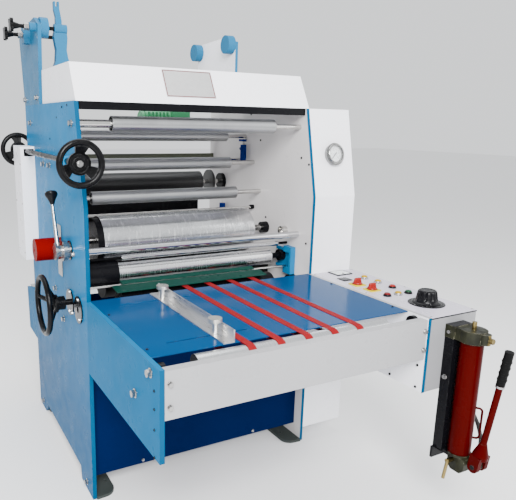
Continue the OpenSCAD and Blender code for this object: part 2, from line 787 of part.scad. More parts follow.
// Hose from the pump's outlet to the underside of the console
hose_r = 7;
hose_route = [
    [1174, -757, 291], [1184, -757, 294], [1197, -756, 312], [1203, -750, 348], [1200, -730, 400],
    [1191, -698, 450], [1188, -664, 490], [1188, -642, 510], [1188, -638, 518], [1188, -638, 526]
];

// A point on the smooth curve through the route's points
function spline(p, i, t) =
    let (last = len(p) - 1, a = p[max(i - 1, 0)], b = p[i], c = p[min(i + 1, last)], d = p[min(i + 2, last)])
    0.5 * ((2 * b) + (c - a) * t + (2 * a - 5 * b + 4 * c - d) * t * t + (3 * b - a - 3 * c + d) * t * t * t);

function route_points(p, steps) = concat(
    [for (i = [0:len(p) - 2], k = [0:steps - 1]) spline(p, i, k / steps)], [p[len(p) - 1]]);

function unit(v) = v / norm(v);

// Round tube swept along the points, with rings across its direction
module swept_tube(points, r, sides) {
    n = len(points);
    side = [0, 1, 0];
    rings = [
        for (i = [0:n - 1])
            let (dir = unit(points[min(i + 1, n - 1)] - points[max(i - 1, 0)]),
                 u = unit(cross(dir, cross(side, dir))), v = cross(dir, u))
            for (k = [0:sides - 1]) points[i] + r * (cos(360 * k / sides) * u + sin(360 * k / sides) * v)
    ];
    walls = [
        for (i = [0:n - 2], k = [0:sides - 1])
            let (j = (k + 1) % sides)
            [i * sides + k, (i + 1) * sides + k, (i + 1) * sides + j, i * sides + j]
    ];
    caps = [[for (k = [0:sides - 1]) k], [for (k = [sides - 1:-1:0]) (n - 1) * sides + k]];
    polyhedron(points = rings, faces = concat(walls, caps), convexity = 6);
}

module pump_hose() in_frame() {
    color("black") swept_tube(route_points(hose_route, 3), hose_r, 10);
    color("goldenrod") bar_x([pump_x + reservoir_r, 1176], [-757, 291], 9);
    color("goldenrod") bar_z([522, console_top - console_h], [1188, -638], 9);
}

// Handle with a forked casting that straddles the base's lug
module pump_handle() in_frame() color("darkred") translate(pump_pivot) {
    rotate([0, 90, 0]) translate([0, 0, -29]) cylinder(h = 58, r = 8);
    rotate([pump_lean, 0, 0]) {
        for (x = [-27, 11]) {
            rotate([0, 90, 0]) translate([0, 0, x]) cylinder(h = 16, r = 20);
            block([x, -20, 0], [x + 16, 20, 46]);
        }
        translate([0, 0, 34]) cylinder(h = 12, r = 27);
        translate([0, 0, 46]) cylinder(h = 46, r1 = 27, r2 = 12.5);
        translate([0, 0, 90]) cylinder(h = pump_handle_l - 200, r = 11);
        color("black") translate([0, 0, pump_handle_l - 122]) cylinder(h = 122, r = 14.5);
    }
}

// Release valve: a spindle in the base's left side with a bar to turn it
module release_valve() in_frame() color("dimgray") {
    bar_x([pump_x - 60, pump_x - base_w - gap], [pump_y, 288], 8);
    translate([pump_x - 55, pump_y, 288]) rotate([180, 12, 0]) cylinder(h = 66, r = 6);
}

side_plate_left();
side_plate_right();
table_plates();
foot_pads();
cross_shafts();
plate_bolts();
frame_panels();
hood();
gear_case();
cabinet();
console_box();
console_panel();
panel_fittings();
table_sheet();
table_front();
feed_tapes();
guide_plates();
shaft_bearings();
ram_cylinders();
end_canister();
unwind_brackets();
drive_motor();
drive_chain();
drive_shaft();
pump_frame();
pump_reservoir();
pump_hose();
pump_handle();
release_valve();
gauge_case();
gauge_needle();
top_crank();
nip_crank();
nip_lever();
guide_roller_1();
guide_roller_2();
guide_roller_3();
guide_roller_4();
nip_roller();
drum();
press_roller();
press_carriage();
rear_roller();
table_roller();
tape_roller();
adjuster_screw_1();
adjuster_screw_2();
brake_arm();
lay_guide();
guide_knob_1();
guide_knob_2();
button_1();
button_2();
button_3();
button_4();
button_5();
button_6();
selector_1();
selector_2();
speed_knob();
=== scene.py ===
# Looks of the roll laminator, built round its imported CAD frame. Metres, +Z up, feed side at -Y.
import math

import bmesh
import bpy
from mathutils import Matrix, Vector


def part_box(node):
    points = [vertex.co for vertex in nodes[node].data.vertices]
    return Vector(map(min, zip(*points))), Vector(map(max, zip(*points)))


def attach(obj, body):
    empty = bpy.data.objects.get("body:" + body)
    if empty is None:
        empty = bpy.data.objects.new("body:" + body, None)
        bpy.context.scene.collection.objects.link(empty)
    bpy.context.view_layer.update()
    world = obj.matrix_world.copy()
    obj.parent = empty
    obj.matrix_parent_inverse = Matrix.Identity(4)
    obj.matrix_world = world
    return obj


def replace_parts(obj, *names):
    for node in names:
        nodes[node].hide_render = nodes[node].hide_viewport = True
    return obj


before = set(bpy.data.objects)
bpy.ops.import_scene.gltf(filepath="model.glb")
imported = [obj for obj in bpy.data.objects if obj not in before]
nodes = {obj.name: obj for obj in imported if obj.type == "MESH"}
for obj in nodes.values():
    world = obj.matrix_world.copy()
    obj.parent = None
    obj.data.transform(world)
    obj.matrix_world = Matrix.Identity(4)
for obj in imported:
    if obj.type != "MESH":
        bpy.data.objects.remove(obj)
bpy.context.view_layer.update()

MM = 0.001
X, Y, Z = Vector((1, 0, 0)), Vector((0, 1, 0)), Vector((0, 0, 1))
# The machine's corner: 9 mm inside the left plate's outer face, the side plates' front edge, the floor
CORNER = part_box("side_plate_left")[0] + Vector((9, 0, 0)) * MM


def at(x, y, z):
    """A point given in millimetres from the machine's corner."""
    return CORNER + Vector((x, y, z)) * MM


def mm(point):
    """A point of the row frame in millimetres from the machine's corner."""
    return (point - CORNER) / MM


# ---------------------------------------------------------------- materials

def tree(name):
    """A new material, with its node tree and its shader."""
    m = bpy.data.materials.new(name)
    m.use_nodes = True
    t = m.node_tree
    return m, t, t.nodes["Principled BSDF"]


def feed(t, socket, value):
    """Sets an input socket to a value, or links it to the socket that is given."""
    if isinstance(value, bpy.types.NodeSocket):
        t.links.new(value, socket)
    else:
        socket.default_value = value


def node(t, kind, **sockets):
    """A new node with its inputs fed; a key such as i1 means the input with that number."""
    n = t.nodes.new(kind)
    for key, value in sockets.items():
        numbered = key[0] == "i" and key[1:].isdigit()
        feed(t, n.inputs[int(key[1:]) if numbered else key.replace("_", " ")], value)
    return n


def place(t, scale=(1, 1, 1)):
    """The piece's own coordinates in metres, stretched by scale."""
    coords = node(t, "ShaderNodeTexCoord").outputs["Object"]
    return node(t, "ShaderNodeMapping", Vector=coords, Scale=scale).outputs["Vector"]


def noise_of(t, scale, detail=3.0, roughness=0.55, stretch=(1, 1, 1)):
    return node(t, "ShaderNodeTexNoise", Vector=place(t, stretch), Scale=scale, Detail=detail,
                Roughness=roughness).outputs["Fac"]


def spread(t, fac, low, high, a, b):
    """Maps fac from low..high to a..b, and stops at both."""
    n = node(t, "ShaderNodeMapRange", Value=fac, i1=low, i2=high, i3=a, i4=b)
    return n.outputs["Result"]


def times(t, a, b, kind="MULTIPLY"):
    n = node(t, "ShaderNodeMath", i0=a, i1=b)
    n.operation = kind
    return n.outputs[0]


def mix(t, fac, a, b):
    """The colour a turning to b as fac goes from 0 to 1."""
    n = t.nodes.new("ShaderNodeMix")
    n.data_type = "RGBA"
    for socket, value in (("Factor", fac), (6, a), (7, b)):
        feed(t, n.inputs[socket], value)
    return n.outputs[2]


def rgb(r, g, b):
    return (r, g, b, 1.0)


def shade(colour, k):
    return rgb(*[min(1.0, c * k) for c in colour[:3]])


def bevel_node(t, width):
    """The surface's direction with every edge rounded by width."""
    bevel = t.nodes.new("ShaderNodeBevel")
    bevel.samples = 4
    bevel.inputs["Radius"].default_value = width
    return bevel.outputs["Normal"]


def edges(t, width):
    """1 along the solid's edges, 0 on its faces."""
    flat = t.nodes.new("ShaderNodeNewGeometry")
    dot = node(t, "ShaderNodeVectorMath", i0=bevel_node(t, width), i1=flat.outputs["Normal"])
    dot.operation = "DOT_PRODUCT"
    return spread(t, dot.outputs["Value"], 0.995, 0.9, 0.0, 1.0)


def bump(t, shader, height, strength, distance, round_edges=0.0):
    """Surface relief, over edges that look rounded by round_edges."""
    b = node(t, "ShaderNodeBump", Height=height, Strength=strength, Distance=distance)
    if round_edges:
        t.links.new(bevel_node(t, round_edges), b.inputs["Normal"])
    t.links.new(b.outputs["Normal"], shader.inputs["Normal"])


def enamel(name, colour, rough=0.28, wear=0.35, under=(0.16, 0.16, 0.17), dirt=0.12, edge=0.0015,
           shine=0.3, low=None):
    """Sprayed gloss paint with orange peel, handling marks and worn edges. Near the floor it darkens to low,
    a painted shade.
    """
    m, t, s = tree(name)
    base = rgb(*colour)
    soft = noise_of(t, 3.0, 4.0)
    tone = mix(t, spread(t, soft, 0.3, 0.7, 0.0, 1.0), shade(base, 1 - dirt), shade(base, 1 + dirt * 0.4))
    # painted shade: the colour darkens to low towards the floor
    if low:
        height = node(t, "ShaderNodeSeparateXYZ", Vector=place(t)).outputs["Z"]
        tone = mix(t, spread(t, height, 0.25, 0.95, 0.0, 1.0), rgb(*low), tone)
    spots = spread(t, noise_of(t, 55.0, 5.0, 0.7), 0.66, 0.74, 0.0, dirt * 2)
    tone = mix(t, spots, tone, shade(base, 0.55))
    worn = times(t, edges(t, edge), spread(t, noise_of(t, 38.0, 4.0), 0.48, 0.62, 0.0, wear))
    t.links.new(mix(t, worn, tone, rgb(*under)), s.inputs["Base Color"])
    t.links.new(spread(t, noise_of(t, 14.0, 5.0), 0.3, 0.7, rough * 0.8, rough * 1.3), s.inputs["Roughness"])
    s.inputs["Specular IOR Level"].default_value = shine
    bump(t, s, noise_of(t, 420.0, 2.0), 0.035, 0.0006, edge)
    return m


def metal(name, colour, rough=0.25, grain=(1, 1, 1), grain_scale=900.0, grain_depth=0.08, stain=0.15,
          edge=0.0008):
    """Bare metal. grain stretches its tool marks: (1, 0, 0) turns them round X, (0, 0, 1) round Z."""
    m, t, s = tree(name)
    base = rgb(*colour)
    marks = noise_of(t, grain_scale, 2.0, 0.6, grain)
    blot = noise_of(t, 9.0, 5.0, 0.65)
    tone = mix(t, spread(t, marks, 0.35, 0.65, 0.0, 1.0), shade(base, 0.9), shade(base, 1.05))
    tone = mix(t, spread(t, blot, 0.45, 0.75, 0.0, stain), tone, shade(base, 0.45))
    t.links.new(tone, s.inputs["Base Color"])
    s.inputs["Metallic"].default_value = 1.0
    uneven = spread(t, marks, 0.3, 0.7, -0.06, 0.06)
    patchy = spread(t, blot, 0.3, 0.8, rough * 0.85, rough * 1.35)
    t.links.new(times(t, uneven, patchy, "ADD"), s.inputs["Roughness"])
    bump(t, s, marks, grain_depth, 0.0004, edge)
    return m


def plastic(name, colour, rough=0.3, speck=0.06, edge=0.0006, shine=0.35):
    """Moulded plastic with a fine moulded grain and rubbed edges."""
    m, t, s = tree(name)
    base = rgb(*colour)
    rubbed = times(t, edges(t, edge), 0.35)
    cloud = spread(t, noise_of(t, 60.0, 4.0), 0.35, 0.7, 0.0, 1.0)
    tone = mix(t, cloud, shade(base, 1 - speck), shade(base, 1 + speck))
    lighter = rgb(*[min(1.0, c * 1.3 + 0.02) for c in colour])
    t.links.new(mix(t, rubbed, tone, lighter), s.inputs["Base Color"])
    t.links.new(spread(t, noise_of(t, 90.0, 4.0), 0.3, 0.7, rough * 0.8, rough * 1.3), s.inputs["Roughness"])
    s.inputs["Specular IOR Level"].default_value = shine
    bump(t, s, noise_of(t, 1500.0, 2.0), 0.06, 0.0002, edge)
    return m


def casting(name, colour, rough=0.45, oily=0.25, rubbed=(0.30, 0.28, 0.20)):
    """Sand-cast iron under thin paint, pitted and oily."""
    m, t, s = tree(name)
    base = rgb(*colour)
    sand = noise_of(t, 260.0, 6.0, 0.7)
    cloud = spread(t, noise_of(t, 22.0, 5.0, 0.7), 0.4, 0.7, 0.0, 1.0)
    tone = mix(t, cloud, shade(base, 0.5), shade(base, 1.5))
    worn = times(t, edges(t, 0.002), spread(t, noise_of(t, 70.0, 4.0), 0.45, 0.6, 0.0, 0.6))
    t.links.new(mix(t, worn, tone, rgb(*rubbed)), s.inputs["Base Color"])
    oil = noise_of(t, 30.0, 4.0)
    t.links.new(spread(t, oil, 0.35, 0.65, rough * 0.6, rough * 1.3), s.inputs["Roughness"])
    s.inputs["Specular IOR Level"].default_value = 0.1
    s.inputs["Coat Weight"].default_value = oily
    bump(t, s, sand, 0.35, 0.0008, 0.002)
    return m


def rubber(name, colour, rough=0.55, grain=(1, 1, 1)):
    """Ground rubber with fine lines and grey dust in its pores."""
    m, t, s = tree(name)
    base = rgb(*colour)
    lines = noise_of(t, 800.0, 2.0, 0.6, grain)
    dust = spread(t, noise_of(t, 12.0, 6.0, 0.7), 0.5, 0.8, 0.0, 0.35)
    t.links.new(mix(t, dust, base, rgb(*[min(1.0, c * 1.8 + 0.03) for c in colour])), s.inputs["Base Color"])
    t.links.new(spread(t, lines, 0.3, 0.7, rough * 0.85, rough * 1.15), s.inputs["Roughness"])
    bump(t, s, lines, 0.2, 0.0003, 0.001)
    return m


def woven_tape(name, colour):
    """Woven feed tape: warp along Y, weft across X, rubbed lighter where it runs."""
    m, t, s = tree(name)
    base = rgb(*colour)
    warp = node(t, "ShaderNodeTexWave", Vector=place(t), Scale=320.0)
    warp.bands_direction = "X"
    weft = node(t, "ShaderNodeTexWave", Vector=place(t), Scale=260.0)
    weft.bands_direction = "Y"
    cloth = times(t, warp.outputs["Fac"], weft.outputs["Fac"])
    tone = mix(t, cloth, shade(base, 0.6), shade(base, 1.15))
    rubbed = spread(t, noise_of(t, 30.0, 5.0, 0.6, (2.5, 0.25, 1)), 0.5, 0.75, 0.0, 0.35)
    t.links.new(mix(t, rubbed, tone, rgb(0.30, 0.012, 0.012)), s.inputs["Base Color"])
    s.inputs["Roughness"].default_value = 0.7
    s.inputs["Specular IOR Level"].default_value = 0.15
    bump(t, s, cloth, 0.4, 0.0005)
    return m


def drum_skin(name):
    """Hard chrome under a dusty film print: long soft smears, crosswise scuffs and fine lines."""
    m, t, s = tree(name)
    smear = noise_of(t, 16.0, 6.0, 0.62, (0.35, 1, 1))
    scuff = noise_of(t, 70.0, 5.0, 0.7, (1.6, 0.35, 0.35))
    lines = noise_of(t, 700.0, 2.0, 0.5, (1, 0, 0))
    haze = times(t, spread(t, smear, 0.38, 0.68, 0.0, 1.0), spread(t, scuff, 0.35, 0.65, 0.35, 1.0))
    tone = mix(t, haze, rgb(0.70, 0.71, 0.72), rgb(0.26, 0.27, 0.28))
    bright = spread(t, noise_of(t, 60.0, 4.0, 0.6, (1.4, 0.25, 0.25)), 0.56, 0.66, 0.0, 0.9)
    t.links.new(mix(t, bright, tone, rgb(0.95, 0.95, 0.95)), s.inputs["Base Color"])
    s.inputs["Metallic"].default_value = 1.0
    dull = spread(t, haze, 0.0, 1.0, 0.16, 0.42)
    uneven = spread(t, lines, 0.3, 0.7, -0.03, 0.03)
    t.links.new(times(t, dull, uneven, "ADD"), s.inputs["Roughness"])
    relief = times(t, scuff, spread(t, lines, 0.3, 0.7, 0.8, 1.0))
    bump(t, s, relief, 0.12, 0.0006, 0.001)
    return m


def glass(name):
    m, t, s = tree(name)
    s.inputs["Base Color"].default_value = rgb(0.95, 0.97, 1.0)
    s.inputs["Alpha"].default_value = 0.14
    t.links.new(spread(t, noise_of(t, 40.0, 4.0), 0.3, 0.7, 0.02, 0.09), s.inputs["Roughness"])
    return m


# painted shade: the side plates' blue darkens to low towards the floor
BLUE = enamel("sky_blue_enamel", (0.006, 0.15, 0.33), rough=0.3, shine=0.02, low=(0.0, 0.075, 0.19))
SKY = enamel("table_plate_enamel", (0.0, 0.105, 0.24), rough=0.3, shine=0.01)
# painted shade: a darker copy of the plates' blue, given to their faces toward the feed side
SHADED_FRONT_BLUE = enamel("plate_front_shaded_enamel", (0.0, 0.06, 0.14), rough=0.3, shine=0.03)
# worn edges turn pale blue: partly rubbed paint, partly a painted highlight along the edges
BRACKET = enamel("bracket_blue_enamel", (0.015, 0.13, 0.26), rough=0.3, wear=0.5, under=(0.20, 0.35, 0.50),
                 shine=0.05)
NAVY = enamel("table_blue_enamel", (0.0, 0.040, 0.125), rough=0.14, dirt=0.06, shine=0.04)
# painted shade: the skirts' blue is darkened for the shade under the table
SHADED_SKIRT_BLUE = enamel("skirt_shaded_blue_enamel", (0.0, 0.007, 0.05), rough=0.3, shine=0.02)
DEEP = enamel("deep_blue_enamel", (0.0, 0.014, 0.14), rough=0.3, shine=0.04)
WHITE = enamel("white_enamel", (0.86, 0.86, 0.90), rough=0.3, dirt=0.03, wear=0.25, under=(0.45, 0.45, 0.46))
# painted shade: a darker, warmer copy of the white paint for the side plates' inner faces
SHADED_WHITE = enamel("inner_white_shaded_enamel", (0.60, 0.575, 0.57), rough=0.33, dirt=0.05, wear=0.2)
PRIMER = (0.8, 0.8, 0.8)
CASE = enamel("console_grey_enamel", (0.235, 0.235, 0.245), rough=0.3, dirt=0.04, wear=0.3, under=PRIMER)
PANEL = enamel("panel_lavender_enamel", (0.47, 0.45, 0.52), rough=0.28, dirt=0.03, wear=0.4, under=PRIMER)
GREY = enamel("light_grey_enamel", (0.30, 0.30, 0.31), rough=0.3, dirt=0.05, wear=0.4, under=PRIMER)
BLACK = enamel("black_enamel", (0.003, 0.003, 0.004), rough=0.25, wear=0.3, under=(0.16, 0.16, 0.16),
               shine=0.1)
PADS = enamel("foot_pad_enamel", (0.035, 0.042, 0.040), rough=0.4, dirt=0.25, shine=0.1)
GREEN = enamel("green_enamel", (0.003, 0.035, 0.026), rough=0.3, dirt=0.2, shine=0.03)
MOTOR = enamel("motor_green_enamel", (0.04, 0.27, 0.11), rough=0.35, dirt=0.2)
OLIVE = enamel("olive_enamel", (0.10, 0.11, 0.075), rough=0.4, dirt=0.2)
RED = enamel("red_enamel", (0.14, 0.0, 0.0), rough=0.25, dirt=0.15, shine=0.02)
DARK_RED = enamel("dark_red_enamel", (0.042, 0.0, 0.0), rough=0.25, dirt=0.25, under=(0.2, 0.17, 0.12),
                  shine=0.03)
STEEL = metal("bright_steel", (0.36, 0.355, 0.35), rough=0.24)
FLANGE = metal("oiled_steel", (0.05, 0.05, 0.055), rough=0.22, stain=0.3)
BEZEL = metal("bezel_steel", (0.26, 0.26, 0.255), rough=0.16, stain=0.05)
ROUND_X = (1, 0, 0)
TURNED = metal("turned_steel", (0.58, 0.57, 0.55), rough=0.2, grain=ROUND_X, grain_scale=500.0)
ALU = metal("turned_aluminium", (0.38, 0.385, 0.39), rough=0.34, grain=ROUND_X, grain_scale=420.0,
            grain_depth=0.015, stain=0.06)
FRONT = metal("front_aluminium", (0.62, 0.63, 0.64), rough=0.26, grain=ROUND_X, grain_scale=420.0,
              grain_depth=0.05, stain=0.05)
MILLED = metal("milled_aluminium", (0.72, 0.72, 0.73), rough=0.3, grain=(1, 0.05, 1), grain_scale=260.0,
               stain=0.06)
NICKEL = metal("pale_nickel", (0.80, 0.77, 0.70), rough=0.3, stain=0.05)
CHROME = metal("polished_chrome", (0.66, 0.67, 0.68), rough=0.09, grain=ROUND_X, grain_scale=300.0,
               grain_depth=0.02, stain=0.08)
NIP = metal("nip_chrome", (0.82, 0.82, 0.82), rough=0.22, grain=ROUND_X, grain_scale=300.0, grain_depth=0.03,
            stain=0.05)
BRASS = metal("brass", (0.24, 0.18, 0.07), rough=0.3, stain=0.4)
IRON = casting("black_iron", (0.003, 0.003, 0.0035), rough=0.32, oily=0.03, rubbed=(0.10, 0.10, 0.10))
PUMP = casting("olive_iron", (0.013, 0.0135, 0.007), rough=0.5, oily=0.1)
RUBBER = rubber("roller_rubber", (0.008, 0.008, 0.009), rough=0.4, grain=ROUND_X)
HOSE = rubber("hose_rubber", (0.003, 0.003, 0.003))
GRIP = plastic("grip_plastic", (0.003, 0.003, 0.003), rough=0.42, shine=0.06)
PHENOLIC = plastic("phenolic", (0.003, 0.003, 0.004), rough=0.28, shine=0.15)
YELLOW = plastic("yellow_plastic", (0.40, 0.24, 0.0), rough=0.3, shine=0.04)
PLATE_YELLOW = plastic("legend_yellow", (0.55, 0.42, 0.0), rough=0.35, shine=0.02)
SCARLET = plastic("scarlet_plastic", (0.24, 0.008, 0.005), rough=0.25, shine=0.2)
CRIMSON = plastic("crimson_plastic", (0.12, 0.0, 0.001), rough=0.25, shine=0.2)
BOTTLE = plastic("bottle_green_plastic", (0.0, 0.04, 0.014), rough=0.25, shine=0.2)
PLATE = plastic("nameplate_face", (0.36, 0.36, 0.36), rough=0.35, speck=0.04)
DIAL = plastic("dial_face", (0.72, 0.74, 0.74), rough=0.4, speck=0.02)
INK = plastic("printed_ink", (0.01, 0.01, 0.01), rough=0.5)
MARK = plastic("printed_white", (0.22, 0.22, 0.22), rough=0.45)
TAPE = woven_tape("red_feed_tape", (0.24, 0.0, 0.004))
DRUM = drum_skin("chrome_drum_skin")
GLASS = glass("clear_glass")


# ---------------------------------------------------------------- CAD nodes

def dress(name, base, *rules):
    """Gives a CAD node the material base, and the rules' materials to the faces that pass their tests.

    A rule is (material, test), and a test takes a face's centre, in millimetres from the machine's corner,
    and its normal. The last rule that passes wins.
    """
    mesh = nodes[name].data
    mesh.materials.clear()
    for m in [base] + [m for m, _ in rules]:
        mesh.materials.append(m)
    for face in mesh.polygons:
        centre = mm(face.center)
        for i, (_, test) in enumerate(rules):
            if test(centre, face.normal):
                face.material_index = i + 1


def within(lo, hi):
    """A test that passes faces whose centre lies in a box."""
    return lambda c, n: all(lo[k] <= c[k] <= hi[k] for k in range(3))


ANY = 5000


def slab(axis, lo, hi):
    """A test that passes faces whose centre lies between lo and hi along one axis."""
    low, high = [-ANY] * 3, [ANY] * 3
    low[axis], high[axis] = lo, hi
    return within(low, high)


def near(y, z, r):
    """A test that passes faces within r of a line along X."""
    return lambda c, n: math.hypot(c.y - y, c.z - z) <= r


PUMP_PIVOT = Vector((1120, -809, 290))
PUMP_LEAN = math.radians(7.7)


def along_handle(c):
    """How far up the pump's handle a point lies, from its pivot."""
    return (c.z - PUMP_PIVOT.z) * math.cos(PUMP_LEAN) - (c.y - PUMP_PIVOT.y) * math.sin(PUMP_LEAN)


def forward(c, n):
    """A test that passes faces that look to the feed side."""
    return n.y < -0.5


# painted shade: the plates' inner faces and their faces toward the feed side take darker copies of their
# paint
dress("side_plate_left", BLUE, (SHADED_WHITE, lambda c, n: n.x > 0.9 and c.x > 4), (SHADED_FRONT_BLUE, forward))
dress("side_plate_right", BLUE, (SHADED_WHITE, lambda c, n: n.x < -0.9 and c.x < 980), (SHADED_FRONT_BLUE, forward))
dress("table_plates", SKY,
      (WHITE, lambda c, n: c.y < 0 and ((n.x > 0.9 and 4 < c.x < 100) or (n.x < -0.9 and 900 < c.x < 980))),
      (SHADED_FRONT_BLUE, forward),
      (GREY, lambda c, n: c.x > 980 and c.y < 0 and n.z > 0.9))
dress("foot_pads", PADS)
dress("cross_shafts", TURNED,
      (CHROME, within((17, 80, 940), (974, 112, 980))),
      (BLACK, within((0, 160, 890), (991, 190, 925))),
      (CHROME, within((183.9, 160, 890), (924.1, 190, 930))),
      (BLACK, within((955.9, 455, 1020), (975, 485, 1050))),
      (OLIVE, within((0, 890, 1240), (991, 920, 1280))),
      (DEEP, slab(2, 70, 170)))
dress("plate_bolts", STEEL)
# painted shade: the skirts take the darkened blue, and the sheets above 700 mm are black, standing in for the
# shade under the hood and behind the drum
dress("frame_panels", SHADED_SKIRT_BLUE, (BLACK, slab(2, 700, ANY)))
dress("hood", WHITE)
dress("gear_case", WHITE)
dress("cabinet", WHITE, (PHENOLIC, slab(1, 931, 960)))
dress("console_box", CASE)
dress("console_panel", PANEL)
dress("table_sheet", NAVY, (GREY, slab(1, 900, 1200)))
dress("table_front", GREY)
dress("feed_tapes", TAPE)
dress("guide_plates", GREEN, (TURNED, near(139, 811, 5.3)))
dress("shaft_bearings", BLACK,
      (BLUE, lambda c, n: c.x >= 949 and 103 <= c.y <= 161 and c.z >= 776),
      (BLUE, lambda c, n: c.x >= 959.9 and 159 <= c.y <= 233 and 794 <= c.z <= 886),
      (BLACK, lambda c, n: c.x >= 945 and math.hypot(c.y - 194, c.z - 850) < 26.5),
      (FLANGE, lambda c, n: c.x < -12.5 and n.x < -0.9 and c.z < 1100),
      (BLUE, within((-61, 60, 1270), (1, 100, 1320))))
dress("ram_cylinders", DEEP, (STEEL, within((20, 530, 1336), (970, 560, 1349))))
dress("end_canister", RED, (STEEL, slab(0, -12.1, 1)))
dress("unwind_brackets", BRACKET, (WHITE, lambda c, n: n.x < -0.9 and 970 < c.x < 980))
dress("drive_motor", MOTOR, (WHITE, slab(2, 1370, 1387.2)))
dress("drive_chain", STEEL)
dress("drive_shaft", TURNED)
dress("pump_frame", PUMP,
      (BLACK, lambda c, n: -715.9 < c.y <= -658 and 261 < c.z < 724.9 and c.x > 1050),
      (BLACK, lambda c, n: c.y > -697.1 and c.z > 769 and n.z > 0.9),
      (BRASS, lambda c, n: c.z > 770.5 or (c.y < -801.5 and c.z > 700)),
      (STEEL, lambda c, n: c.y > -690 and c.x < 1066.5 and 560 < c.z < 600),
      (STEEL, lambda c, n: c.y > -690 and c.x < 1064.9 and c.z > 730))
dress("pump_reservoir", DARK_RED)
dress("pump_hose", HOSE, (BRASS, lambda c, n: (c.x < 1176.5 and c.z < 302) or c.z > 521.9))
dress("pump_handle", DARK_RED,
      (IRON, lambda c, n: abs(c.x - 1120) > 27.2),
      (GRIP, lambda c, n: along_handle(c) > 323.5))
dress("release_valve", BRASS)
dress("gauge_case", BEZEL)
dress("gauge_needle", PHENOLIC)
dress("top_crank", IRON)
dress("nip_crank", IRON)
dress("nip_lever", STEEL, (PHENOLIC, slab(2, 1122, 1300)))
for i in range(1, 5):
    dress(f"guide_roller_{i}", ALU, (BLACK, lambda c, n: n.x < -0.9 and c.x > 134))
dress("nip_roller", NIP, (BLACK, lambda c, n: c.x > 890.5 or c.x < 167.5))
# painted shade: the drum's end faces and both ends outside the film are black, for the shade at its hubs
dress("drum", DRUM,
      (BLACK, lambda c, n: abs(n.x) > 0.9 or c.x < 142.9 or c.x > 850.1),
      (TURNED, lambda c, n: c.x < 117.9 or c.x > 946))
dress("press_roller", RUBBER, (FLANGE, lambda c, n: c.x < 149.9 or c.x > 855.1))
dress("press_carriage", IRON)
dress("rear_roller", RUBBER, (TURNED, lambda c, n: c.x < 139 or (c.x > 835.1 and near(790, 1135, 13)(c, n))))
dress("table_roller", FRONT, (BLACK, lambda c, n: abs(n.x) > 0.9))
dress("tape_roller", BLACK)
dress("adjuster_screw_1", IRON, (STEEL, within((-57, 500, 1700), (-36, 900, 1900))))
dress("adjuster_screw_2", IRON, (STEEL, within((-57, 500, 1700), (-36, 900, 1900))))
dress("brake_arm", BRACKET)
dress("lay_guide", MILLED)
dress("guide_knob_1", NICKEL)
dress("guide_knob_2", NICKEL)
dress("speed_knob", PHENOLIC)
dress("selector_1", SCARLET)
dress("selector_2", SCARLET)


# ---------------------------------------------------------------- tools for new pieces

def turn_to(axis):
    """The rotation that takes +Z to axis."""
    return Vector(axis).to_track_quat("Z", "Y").to_matrix().to_4x4()


def basis(origin, right, up, out):
    """The matrix that puts X, Y and Z along right, up and out at origin."""
    m = Matrix((right, up, out)).transposed().to_4x4()
    m.translation = origin
    return m


def placed(o, body):
    """Puts an object in the scene, riding on a body."""
    bpy.context.scene.collection.objects.link(o)
    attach(o, body)
    return o


def group(name, body, materials, draw, angle=32.0):
    """A piece on a body, drawn by draw(bm) in millimetres from the machine's corner.

    Edges sharper than angle, in degrees, stay sharp.
    """
    bm = bmesh.new()
    draw(bm)
    bmesh.ops.recalc_face_normals(bm, faces=bm.faces)
    for e in bm.edges:
        e.smooth = len(e.link_faces) == 2 and e.calc_face_angle(0) < math.radians(angle)
    for f in bm.faces:
        f.smooth = True
    mesh = bpy.data.meshes.new(name)
    bm.to_mesh(mesh)
    bm.free()
    mesh.transform(Matrix.Translation(CORNER) @ Matrix.Scale(MM, 4))
    for m in materials:
        mesh.materials.append(m)
    return placed(bpy.data.objects.new(name, mesh), body)


def spun(x, y, z, a=0.0):
    """The matrix of a point in millimetres from the machine's corner, turned by a round Z."""
    return Matrix.Translation((x, y, z)) @ Matrix.Rotation(a, 4, "Z")


def lathe(bm, profile, matrix=Matrix(), steps=48, material=0):
    """Turns a profile of (radius, height) round Z; a radius of 0 closes an end."""
    rings = []
    for r, h in profile:
        if r == 0:
            rings.append([bm.verts.new(matrix @ Vector((0, 0, h)))])
        else:
            rings.append([bm.verts.new(matrix @ Vector((r * math.cos(a), r * math.sin(a), h)))
                          for a in (2 * math.pi * k / steps for k in range(steps))])
    for low, high in zip(rings, rings[1:]):
        for k in range(steps):
            j = (k + 1) % steps
            if len(low) == 1:
                corners = (low[0], high[j], high[k])
            elif len(high) == 1:
                corners = (low[k], low[j], high[0])
            else:
                corners = (low[k], low[j], high[j], high[k])
            bm.faces.new(corners).material_index = material


def skin(bm, rings, material=0):
    """Walls between rings of equal length, and a face over the last one."""
    for low, high in zip(rings, rings[1:]):
        for k in range(len(low)):
            j = (k + 1) % len(low)
            bm.faces.new((low[k], low[j], high[j], high[k])).material_index = material
    bm.faces.new(rings[-1]).material_index = material


def brick(bm, lo, hi, bevel=0.0, matrix=Matrix(), material=0):
    """A block between two corners, with its edges rounded by bevel."""
    size = [h - l for l, h in zip(lo, hi)]
    middle = Vector([(l + h) / 2 for l, h in zip(lo, hi)])
    corners = bmesh.ops.create_cube(bm, size=1.0)["verts"]
    for f in {f for v in corners for f in v.link_faces}:
        f.material_index = material
    for v in corners:
        v.co = matrix @ (Vector([v.co[k] * size[k] for k in range(3)]) + middle)
    if bevel:
        sides = list({e for v in corners for e in v.link_edges})
        bmesh.ops.bevel(bm, geom=sides, offset=bevel, segments=2, affect="EDGES", profile=0.5,
                        material=material)


